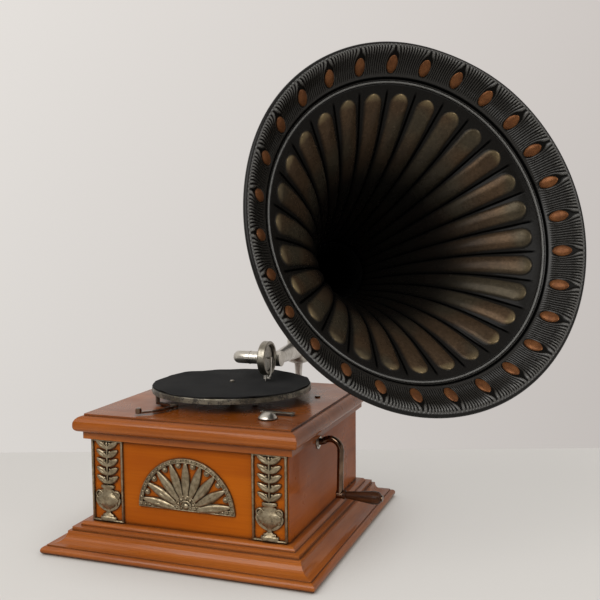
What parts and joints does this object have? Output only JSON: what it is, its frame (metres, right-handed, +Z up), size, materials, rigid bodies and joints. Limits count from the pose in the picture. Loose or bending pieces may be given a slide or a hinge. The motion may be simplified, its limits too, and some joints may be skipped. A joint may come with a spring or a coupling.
{
  "type": "horn gramophone",
  "caption": "Table-top horn gramophone: moulded wooden case with a spring motor, felt-topped turntable, gooseneck tonearm with soundbox, side crank and a large fluted swivelling horn.",
  "frame": {"origin": "centre of the plinth's underside, on the table and below the turntable's spindle", "axes": "+X to the right, towards the crank; +Y to the back, towards the horn's bracket; +Z up"},
  "size_m": [0.7371, 0.5401, 0.7272],
  "materials": {
    "varnished_wood": "satin varnish, orange-brown, worn at the edges",
    "dark_wood": "dark brown turned wood, polished by use",
    "pewter": "dull pressed metal, darkened in the hollows",
    "nickel": "aged nickel plate, cloudy",
    "steel": "bright machined steel",
    "brass": "machined brass",
    "dark_iron": "oxidised steel, dark and glossy",
    "felt": "near-black felt",
    "leather": "brown leather pad",
    "gasket": "soft black rubber",
    "mica": "cloudy mica sheet",
    "black_paint": "black paint rubbed back to bronze on the raised flutes",
    "copper": "copper-coloured raised ovals"
  },
  "bodies": {
    "case": {"base_moulding": "varnished_wood", "case_front": "varnished_wood", "case_back": "varnished_wood", "case_left": "varnished_wood", "case_right": "varnished_wood", "bottom_board": "varnished_wood", "cornice_moulding": "varnished_wood", "top_board": "varnished_wood", "left_panel": "pewter", "right_panel": "pewter", "lunette_panel": "pewter", "crank_escutcheon": "nickel", "motor_top_plate": "steel", "motor_bottom_plate": "steel", "motor_pillars": "steel", "motor_screws": "dark_iron", "governor_bearings": "brass", "thrust_bearing": "brass", "shaft_hangers": "steel", "horn_bracket": "nickel", "bracket_screws": "steel", "speed_scale": "nickel", "brake_pivot": "steel"},
    "turntable": {"spindle": "steel", "governor_wheel": "brass", "platter": "nickel", "felt": "felt"},
    "barrel": {"spring_barrel": "brass", "barrel_cover": "brass", "mainspring": "steel"},
    "winding_arbor": {"winding_arbor": "steel"},
    "intermediate": {"intermediate_arbor": "steel", "intermediate_wheel": "brass"},
    "governor": {"governor_shaft": "steel", "governor_weights": "brass", "governor_springs": "steel", "friction_disc": "brass"},
    "crank": {"crank": "dark_iron", "winding_shaft": "steel"},
    "handle": {"crank_handle": "dark_wood"},
    "brake": {"brake_lever": "dark_iron", "brake_pad": "leather"},
    "regulator": {"speed_knob": "nickel", "regulator_pad": "leather"},
    "tonearm": {"tonearm": "nickel"},
    "gooseneck": {"gooseneck": "nickel", "soundbox_shell": "nickel", "soundbox_ring": "nickel", "soundbox_gaskets": "gasket", "diaphragm": "mica", "needle_bar": "steel", "needle": "nickel"},
    "needle_screw": {"needle_screw": "nickel"},
    "horn": {"horn_elbow": "black_paint", "horn_ferrule": "black_paint", "horn_neck": "black_paint", "horn_throat": "black_paint", "horn_bell": "black_paint", "horn_flange": "black_paint", "horn_ovals": "copper"}
  },
  "joints": [
    {"name": "turntable_spin", "type": "hinge", "parent": "case", "child": "turntable", "pos_m": [0, 0, 0.22], "axis": [0, 0, 1], "continuous": true},
    {"name": "intermediate_spin", "type": "hinge", "parent": "case", "child": "intermediate", "pos_m": [-0.03384, -0.00066, 0.07], "axis": [0, 0, 1], "continuous": true},
    {"name": "barrel_spin", "type": "hinge", "parent": "case", "child": "barrel", "pos_m": [-0.075, -0.036, 0.1], "axis": [0, 0, 1], "continuous": true},
    {"name": "governor_spin", "type": "hinge", "parent": "case", "child": "governor", "pos_m": [0, -0.02615, 0.105], "axis": [1, 0, 0], "continuous": true},
    {"name": "crank_turn", "type": "hinge", "parent": "case", "child": "crank", "pos_m": [0.156, -0.036, 0.154], "axis": [1, 0, 0], "continuous": true},
    {"name": "arbor_wind", "type": "hinge", "parent": "case", "child": "winding_arbor", "pos_m": [-0.075, -0.036, 0.14], "axis": [0, 0, 1], "continuous": true},
    {"name": "handle_spin", "type": "hinge", "parent": "crank", "child": "handle", "pos_m": [0.221, -0.04104, 0.07817], "axis": [1, 0, 0], "continuous": true},
    {"name": "brake_swing", "type": "hinge", "parent": "case", "child": "brake", "pos_m": [-0.052, -0.096, 0.206], "axis": [0, 0, -1], "range_deg": [0, 14]},
    {"name": "regulator_turn", "type": "hinge", "parent": "case", "child": "regulator", "pos_m": [0.108, -0.117, 0.204], "axis": [0, 0, -1], "range_deg": [0, 10]},
    {"name": "tonearm_swing", "type": "hinge", "parent": "case", "child": "tonearm", "pos_m": [0.024, 0.24, 0.25], "axis": [0, 0, 1], "range_deg": [-9, 30]},
    {"name": "gooseneck_flip", "type": "hinge", "parent": "tonearm", "child": "gooseneck", "pos_m": [0.046, 0.0615, 0.259], "axis": [-1, 0, 0], "range_deg": [0, 100]},
    {"name": "needle_screw_turn", "type": "hinge", "parent": "gooseneck", "child": "needle_screw", "pos_m": [0.0505, 0.01698, 0.23481], "axis": [1, 0, 0], "range_deg": [0, 720]},
    {"name": "horn_swivel", "type": "hinge", "parent": "case", "child": "horn", "pos_m": [0.024, 0.24, 0.29], "axis": [0, 0, 1], "continuous": true}
  ],
  "couplings": [
    {"joint": "intermediate_spin", "follows": "turntable_spin", "ratio": -0.16667},
    {"joint": "barrel_spin", "follows": "turntable_spin", "ratio": 0.020833},
    {"joint": "governor_spin", "follows": "turntable_spin", "ratio": -9},
    {"joint": "arbor_wind", "follows": "crank_turn", "ratio": 0.5}
  ]
}
